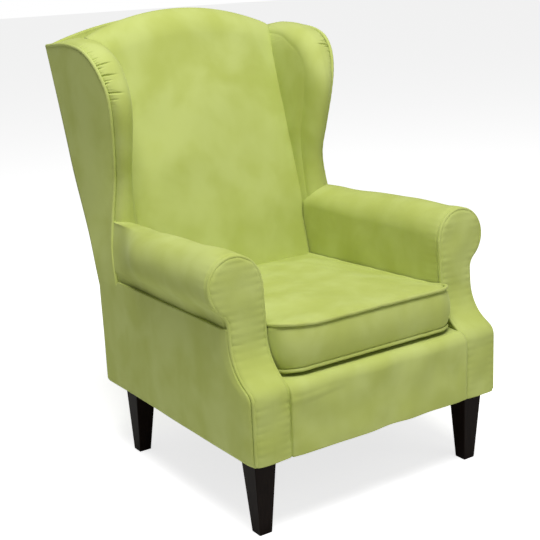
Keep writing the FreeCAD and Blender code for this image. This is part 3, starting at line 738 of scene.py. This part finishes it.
class ARMCHAIR_OT_inside_back(bpy.types.Operator):
    """Crowned inside back, rolled over an arched top"""
    bl_idname = "armchair.inside_back"
    bl_label = "Inside back"

    front_row, ridge_row, rear_row = 0.66, 0.83, 0.95    # rows that end the front, roll and ridge

    def shape(self, u, v):
        front_row, ridge_row, rear_row = self.front_row, self.ridge_row, self.rear_row
        share = 2 * u - 1
        share = math.copysign(1 - (1 - abs(share)) ** 1.25, share)
        height = between(BACK_BOTTOM, ARCH_PEAK, min(v / front_row, 1.0))
        # A little wider above the arms, and again over the wings at its top
        half = ARM_INNER - 0.001 + 0.008 * smooth(0.56, 0.62, height)
        half += 0.013 * smooth(0.68, 0.82, v)
        x = share * half
        top = arch_height(x)
        shoulder = top - BACK_SHOULDER
        crown = BACK_CROWN * (1 - share ** 2)
        side_gap = (1 - abs(share)) * ARM_INNER
        tuck = between(0.012, 0.005, smooth(0.56, 0.66, height))
        tuck *= between(1.0, 0.5, smooth(0.70, 0.80, v))
        tuck *= 1 - math.sqrt(1 - (1 - min(side_gap / 0.016, 1.0)) ** 2)
        front_top = inside_depth(shoulder) - crown
        rear_top = rear_depth(shoulder) - 0.006
        ridge = between(front_top, rear_top, 0.55)
        if v < front_row:
            z = between(BACK_BOTTOM, shoulder, v / front_row)
            swell = 0.004 * math.sin(math.pi * v / front_row) ** 2
            depth = inside_depth(z) - crown - swell + tuck
        elif v < ridge_row:
            turn = (v - front_row) / (ridge_row - front_row) * math.pi / 2
            lean = BACK_SHOULDER * TAN_INSIDE
            z = shoulder + (BACK_SHOULDER - tuck * 0.6) * math.sin(turn)
            depth = front_top + tuck + lean * math.sin(turn)
            depth += (ridge - front_top - tuck - lean) * (1 - math.cos(turn))
        elif v < rear_row:
            turn = (v - ridge_row) / (rear_row - ridge_row) * math.pi / 2
            z = top - BACK_SHOULDER * (1 - math.cos(turn)) - tuck * 0.6
            depth = ridge + (rear_top - ridge) * math.sin(turn)
        else:
            z = between(shoulder - tuck * 0.6, shoulder - 0.08, (v - rear_row) / (1 - rear_row))
            depth = rear_depth(z) - 0.006
        point = place(x, depth, z)
        even = smooth(0.0, 0.06, side_gap)
        point.y += soften(point, 0.005, 0.13, 20.0) * even
        return point

    def execute(self, context):
        cloth = material_named("lime_microsuede")
        bm = formed(self.shape, 130, 230)
        close_holes(bm)
        back = settle("inside_back", bm, cloth)
        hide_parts("inside_back_pad")
        return {"FINISHED"}


class ARMCHAIR_OT_outside_back(bpy.types.Operator):
    """Tight outside back with an arched top"""
    bl_idname = "armchair.outside_back"
    bl_label = "Outside back"

    def shape(self, u, v):
        x = (2 * u - 1) * (BASE_HALF - 0.002)
        top = rear_arch_height(x)
        z = between(LEG_HEIGHT + 0.001, top, v)
        rim = min(BASE_HALF - abs(x), top - z, z - LEG_HEIGHT)
        depth = rear_depth(z) - 0.003 * math.exp(-max(rim, 0.0) / 0.006)
        point = place(x, depth, z)
        point.y += soften(point, 0.003, 0.2, 30.0) * smooth(0.0, 0.03, rim) - 0.001
        return point

    def execute(self, context):
        cloth = material_named("lime_microsuede")
        bm = formed(self.shape, 100, 150)
        thicken(bm, 0.006, (0, 1, 0))
        panel = settle("outside_back", bm, cloth)
        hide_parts("outside_back_panel")
        return {"FINISHED"}


class ARMCHAIR_OT_seat(bpy.types.Operator):
    """Front border and the deck under the cushion"""
    bl_idname = "armchair.seat"
    bl_label = "Front border and deck"

    face_row, corner_row = 0.62, 0.85    # rows that end the border's face and its rounded top
    deck_start = 0.047

    def border(self, u, v):
        x = (2 * u - 1) * (ARM_INNER - 0.0002)
        face_row, corner_row = self.face_row, self.corner_row
        if v < face_row:
            z = between(LEG_HEIGHT + 0.001, BORDER_TOP - BORDER_CORNER, v / face_row)
            depth = 0.001
        elif v < corner_row:
            turn = (v - face_row) / (corner_row - face_row) * math.pi / 2
            z = BORDER_TOP - BORDER_CORNER + BORDER_CORNER * math.sin(turn)
            depth = 0.001 + BORDER_CORNER * (1 - math.cos(turn))
        else:
            z = BORDER_TOP
            depth = between(0.001 + BORDER_CORNER, self.deck_start - 0.001,
                            (v - corner_row) / (1 - corner_row))
        swell = 0.003 * math.sin(math.pi * min(v / corner_row, 1.0))
        # The slight fold that runs in from the left end, near the top
        fold_z = 0.312 + 0.04 * (x + 0.2)
        swell += 0.0022 * math.exp(-((z - fold_z) / 0.006) ** 2) * (1 - smooth(-0.2, -0.08, x))
        point = place(x, depth - swell, z)
        point.y += soften(point, 0.006, 0.075, 41.0) * smooth(0.0, 0.03, ARM_INNER - abs(x))
        return point

    def deck(self, u, v):
        x = (2 * u - 1) * (ARM_INNER - 0.001)
        depth = between(self.deck_start, 0.625, v)
        edge = min(ARM_INNER - abs(x), depth - self.deck_start)
        return place(x, depth, deck_height(depth) - 0.0005 - 0.004 * math.exp(-edge / 0.01))

    def execute(self, context):
        cloth = material_named("lime_microsuede")
        for name, surface, columns, rows, node in (
                ("front_border", self.border, 120, 60, "front_rail_cover"),
                ("seat_deck", self.deck, 60, 60, "seat_deck_pad")):
            bm = formed(surface, columns, rows)
            thicken(bm, 0.008, (0, -1, 1))
            piece = settle(name, bm, cloth)
            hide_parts(node)
        return {"FINISHED"}


class ARMCHAIR_OT_cushion(bpy.types.Operator):
    """Loose box cushion, crowned, with piping round both edges"""
    bl_idname = "armchair.cushion"
    bl_label = "Seat cushion"

    half = 0.246
    front = 0.024
    rear = 0.606
    front_round, rear_round = 0.058, 0.012
    edge_height = 0.100
    top_row = 0.36    # rows that end the top, and as many for the bottom

    def rim(self, share):
        """Plan point and outward direction round the cushion, from the middle of the rear edge."""
        front_round, rear_round = self.front_round, self.rear_round
        corners = ((self.half - rear_round, self.rear - rear_round, rear_round, 90, 0),
                   (self.half - front_round, self.front + front_round, front_round, 0, -90),
                   (-self.half + front_round, self.front + front_round, front_round, -90, -180),
                   (-self.half + rear_round, self.rear - rear_round, rear_round, -180, -270))
        runs = []
        last = (0.0, self.rear)
        for x, depth, radius, start, end in corners:
            start_turn, end_turn = math.radians(start), math.radians(end)
            first = (x + radius * math.cos(start_turn), depth + radius * math.sin(start_turn))
            runs.append((math.dist(last, first), last, first, None))
            runs.append((radius * math.pi / 2, (x, depth), radius, (start, end)))
            last = (x + radius * math.cos(end_turn), depth + radius * math.sin(end_turn))
        runs.append((math.dist(last, (0.0, self.rear)), last, (0.0, self.rear), None))
        left = share * sum(run[0] for run in runs)
        for length, a, b, angles in runs:
            if left <= length or (length, a, b, angles) == runs[-1]:
                part = min(left / length, 1.0)
                if angles is None:
                    along = Vector((b[0] - a[0], b[1] - a[1])).normalized()
                    point = (between(a[0], b[0], part), between(a[1], b[1], part))
                    return point, Vector((-along.y, along.x))
                angle = math.radians(between(angles[0], angles[1], part))
                out = Vector((math.cos(angle), math.sin(angle)))
                return (a[0] + b * out.x, a[1] + b * out.y), out
            left -= length

    def heights(self, x, depth):
        """Lower and upper seam heights under or over a plan point."""
        low = deck_height(depth) + 0.0008
        lift = 0.010 * (1 - smooth(self.front, self.front + 0.10, depth))
        rise = 0.002 * (1 - (x / self.half) ** 2)
        # The left front corner stands plumper
        plump = 0.009 * smooth(0.14, self.half, -x)
        plump *= 1 - smooth(self.front, self.front + 0.30, depth)
        return low + lift, low + lift + self.edge_height + rise + plump

    def hidden(self, out):
        """1 where the cushion's side lies against an arm or the back, 0 along its front."""
        return max(smooth(0.75, 1.0, abs(out.x)), smooth(0.0, 0.5, out.y))

    def shape(self, u, v):
        top_row = self.top_row
        (rx, rd), out = self.rim(u)
        middle = (0.0, (self.front + self.rear) / 2)
        crown = bpy.context.scene.armchair.cushion_crown
        if v < top_row or v > 1 - top_row:
            inward = (v if v < top_row else 1 - v) / top_row
            inward = inward ** 0.8
            x, depth = between(middle[0], rx, inward), between(middle[1], rd, inward)
            low, high = self.heights(x, depth)
            if v < top_row:
                z = high + crown * (1 - inward ** 3.6)
                z += soften((x, depth, 0.0), 0.006, 0.13, 50.0) * (1 - inward ** 6)
                near_seam = smooth(0.80, 0.97, inward) * (1 - smooth(0.97, 1.0, inward))
                z += 0.0012 * ripple(u, 70, 4.0) * near_seam * smooth(0.7, 1.0, -out.y)
            else:
                z = low
        else:
            x, depth = rx, rd
            low, high = self.heights(x, depth)
            across = (v - top_row) / (1 - 2 * top_row)
            z = between(high, low, across)
            bulge = 0.011 * math.sin(math.pi * across) ** 0.8
            bulge *= 0.35 + 0.65 * smooth(-0.5, 0.5, -out.y)
            # Drawn in beside both lines of piping
            bulge -= 0.005 * math.exp(-(across / 0.08) ** 2)
            bulge -= 0.005 * math.exp(-((1 - across) / 0.08) ** 2)
            bulge += 0.0012 * ripple(u, 46, 9.0) * math.sin(math.pi * across)
            bulge = between(bulge, min(bulge, 0.001), self.hidden(out))
            x, depth = x + out.x * bulge, depth + out.y * bulge
        return place(x, depth, z)

    def seam(self, upper):
        """The line of the upper or lower piping."""
        points = []
        count = 360
        for step in range(count):
            share = step / count
            (x, depth), out = self.rim(share)
            low, high = self.heights(x, depth)
            z = high if upper else low + 0.004
            wave = 0.0011 * noise.noise(Vector((share * 60, 3.0, float(upper))))
            out_shift = between(0.0030, -0.0025, self.hidden(out))
            points.append(place(x + out.x * out_shift, depth + out.y * out_shift, z + wave))
        return points

    def execute(self, context):
        cloth = material_named("lime_microsuede")
        bm = formed(self.shape, 300, 130)
        cushion = settle("cushion_cover", bm, cloth, rides="cushion")
        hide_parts("seat_cushion_cover", "seat_cushion_foam")
        for name, upper in (("top", True), ("bottom", False)):
            pipe = piping("cushion_piping_" + name, self.seam(upper), cloth, rides="cushion",
                          closed=True)
        return {"FINISHED"}


class ARMCHAIR_OT_legs(bpy.types.Operator):
    """Four square tapered legs with eased edges"""
    bl_idname = "armchair.legs"
    bl_label = "Legs"

    def execute(self, context):
        wood = material_named("stained_beech")
        for name in ("front_left", "front_right", "rear_left", "rear_right"):
            low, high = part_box("leg_" + name)
            centre = (low + high) / 2
            top_half = (high.x - low.x) / 2
            foot_y = centre.y if name.startswith("front") else high.y - LEG_FOOT / 2
            bm = bmesh.new()
            bmesh.ops.create_cube(bm, size=1.0)
            for vert in bm.verts:
                upper = vert.co.z > 0
                half = top_half if upper else LEG_FOOT / 2
                middle_y = low.y + top_half if upper else foot_y
                vert.co = Vector((centre.x + math.copysign(half, vert.co.x),
                                  middle_y + math.copysign(half, vert.co.y),
                                  high.z - 0.0005 if upper else low.z))
            bmesh.ops.bevel(bm, geom=bm.edges[:], offset=0.0014, segments=2, profile=0.5,
                            material=-1, affect="EDGES")
            leg = settle("leg_piece_" + name, bm, wood)
            for face in leg.data.polygons:
                face.use_smooth = face.area < 0.0004
            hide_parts("leg_" + name)
        return {"FINISHED"}


class ARMCHAIR_OT_inner_frame(bpy.types.Operator):
    """Finishes for the timber, springs and webbing inside"""
    bl_idname = "armchair.inner_frame"
    bl_label = "Inner frame"

    finishes = {
        "frame_wood": "planed_beech",
        "plywood": "birch_plywood",
        "foam": "seat_foam",
        "webbing": "elastic_webbing",
        "dust_cloth": "black_lining",
        "steel": "zinc_steel",
        "dark_wood": "stained_beech",
        "cover_fabric": "lime_microsuede",
    }

    def execute(self, context):
        for part in frame["record"]["subparts"]:
            node = frame["nodes"][part["node"]]
            node.data.materials.clear()
            node.data.materials.append(material_named(self.finishes[part["material_slot"]]))
        return {"FINISHED"}


class ARMCHAIR_OT_stage(bpy.types.Operator):
    """Pale floor, soft studio lights and the camera at the photograph's place"""
    bl_idname = "armchair.stage"
    bl_label = "Stage"

    def light(self, name, where, target, size, power):
        lamp = bpy.data.lights.new(name, "AREA")
        lamp.size = size
        lamp.energy = power
        holder = bpy.data.objects.new(name, lamp)
        holder.location = where
        holder.rotation_euler = (Vector(target) - Vector(where)).to_track_quat("-Z", "Y").to_euler()
        bpy.context.scene.collection.objects.link(holder)

    def floor(self):
        bm = bmesh.new()
        bmesh.ops.create_grid(bm, x_segments=1, y_segments=1, size=30.0)
        mesh = bpy.data.meshes.new("floor")
        bm.to_mesh(mesh)
        bm.free()
        material, tree = new_material("white_paper")
        path = add_node(tree, "ShaderNodeLightPath")
        paper = add_node(tree, "ShaderNodeBsdfDiffuse", {"Color": colour("#F4F4F4")})
        # The camera sees the paper lifted towards white, while its shadow stays
        white = add_node(tree, "ShaderNodeEmission", {"Color": (1, 1, 1, 1), "Strength": 0.74})
        lit = add_node(tree, "ShaderNodeAddShader",
                       links={0: (paper, "BSDF"), 1: (white, "Emission")})
        mixed = add_node(tree, "ShaderNodeMixShader",
                         links={0: (path, "Is Camera Ray"), 1: (paper, "BSDF"), 2: (lit, "Shader")})
        add_node(tree, "ShaderNodeOutputMaterial", links={"Surface": (mixed, "Shader")})
        mesh.materials.append(material)
        floor = bpy.data.objects.new("floor", mesh)
        bpy.context.scene.collection.objects.link(floor)

    def camera(self):
        """The place, turn and lens worked out from the outlines in the photograph."""
        where = (-1.47635, -2.25476, 1.20003)
        yaw, pitch, roll = 0.5801, 0.2703, -0.0471
        ahead = Vector((math.sin(yaw) * math.cos(pitch), math.cos(yaw) * math.cos(pitch),
                        -math.sin(pitch)))
        level = Vector((math.cos(yaw), -math.sin(yaw), 0.0))
        over = level.cross(ahead)
        right = level * math.cos(roll) + over * math.sin(roll)
        up = over * math.cos(roll) - level * math.sin(roll)
        lens = bpy.data.cameras.new("camera")
        lens.sensor_width = 36.0
        lens.lens = 73.9
        lens.shift_x = 0.0061
        lens.shift_y = 0.0032
        camera = bpy.data.objects.new("camera", lens)
        turned = Matrix((right, up, -ahead)).transposed().to_4x4()
        camera.matrix_world = Matrix.Translation(where) @ turned
        bpy.context.scene.collection.objects.link(camera)
        bpy.context.scene.camera = camera

    def execute(self, context):
        world = bpy.data.worlds.new("studio")
        world.use_nodes = True
        tree = world.node_tree
        tree.nodes.clear()
        path = add_node(tree, "ShaderNodeLightPath")
        soft = add_node(tree, "ShaderNodeBackground", {"Color": (1, 1, 1, 1), "Strength": 0.155})
        white = add_node(tree, "ShaderNodeBackground", {"Color": (1, 1, 1, 1), "Strength": 1.0})
        # White behind the chair, and only a little light from all round
        mixed = add_node(tree, "ShaderNodeMixShader",
                         links={0: (path, "Is Camera Ray"), 1: (soft, "Background"),
                                2: (white, "Background")})
        add_node(tree, "ShaderNodeOutputWorld", links={"Surface": (mixed, "Shader")})
        context.scene.world = world
        power = context.scene.armchair.key_power
        self.light("key_light", (-0.5, -1.2, 3.9), (0.0, 0.0, 0.5), 2.0, power)
        self.light("fill_light", (1.4, -2.6, 1.6), (0.0, 0.0, 0.5), 2.0, power * 0.04)
        context.scene.view_settings.view_transform = "Standard"
        self.floor()
        self.camera()
        return {"FINISHED"}


OPERATORS = (
    ARMCHAIR_OT_inner_frame,
    ARMCHAIR_OT_sides,
    ARMCHAIR_OT_outside_back,
    ARMCHAIR_OT_inside_back,
    ARMCHAIR_OT_wings,
    ARMCHAIR_OT_arms,
    ARMCHAIR_OT_arm_fronts,
    ARMCHAIR_OT_seat,
    ARMCHAIR_OT_cushion,
    ARMCHAIR_OT_legs,
    ARMCHAIR_OT_stage,
)


class ARMCHAIR_PT_panel(bpy.types.Panel):
    """Lists the armchair's settings and pieces"""
    bl_label = "Armchair"
    bl_idname = "ARMCHAIR_PT_panel"
    bl_space_type = "VIEW_3D"
    bl_region_type = "UI"
    bl_category = "Armchair"

    def draw(self, context):
        settings = context.scene.armchair
        for name in ArmchairSettings.__annotations__:
            self.layout.prop(settings, name)
        for operator in OPERATORS:
            self.layout.operator(operator.bl_idname)


CLASSES = (ArmchairSettings, *OPERATORS, ARMCHAIR_PT_panel)


def register():
    for item in CLASSES:
        bpy.utils.register_class(item)
    bpy.types.Scene.armchair = PointerProperty(type=ArmchairSettings)


def unregister():
    del bpy.types.Scene.armchair
    for item in reversed(CLASSES):
        bpy.utils.unregister_class(item)


def main():
    register()
    bpy.ops.armchair.inner_frame()
    bpy.ops.armchair.sides()
    bpy.ops.armchair.outside_back()
    bpy.ops.armchair.inside_back()
    bpy.ops.armchair.wings()
    bpy.ops.armchair.arms()
    bpy.ops.armchair.arm_fronts()
    bpy.ops.armchair.seat()
    bpy.ops.armchair.cushion()
    bpy.ops.armchair.legs()
    bpy.ops.armchair.stage()


if __name__ == "__main__":
    main()
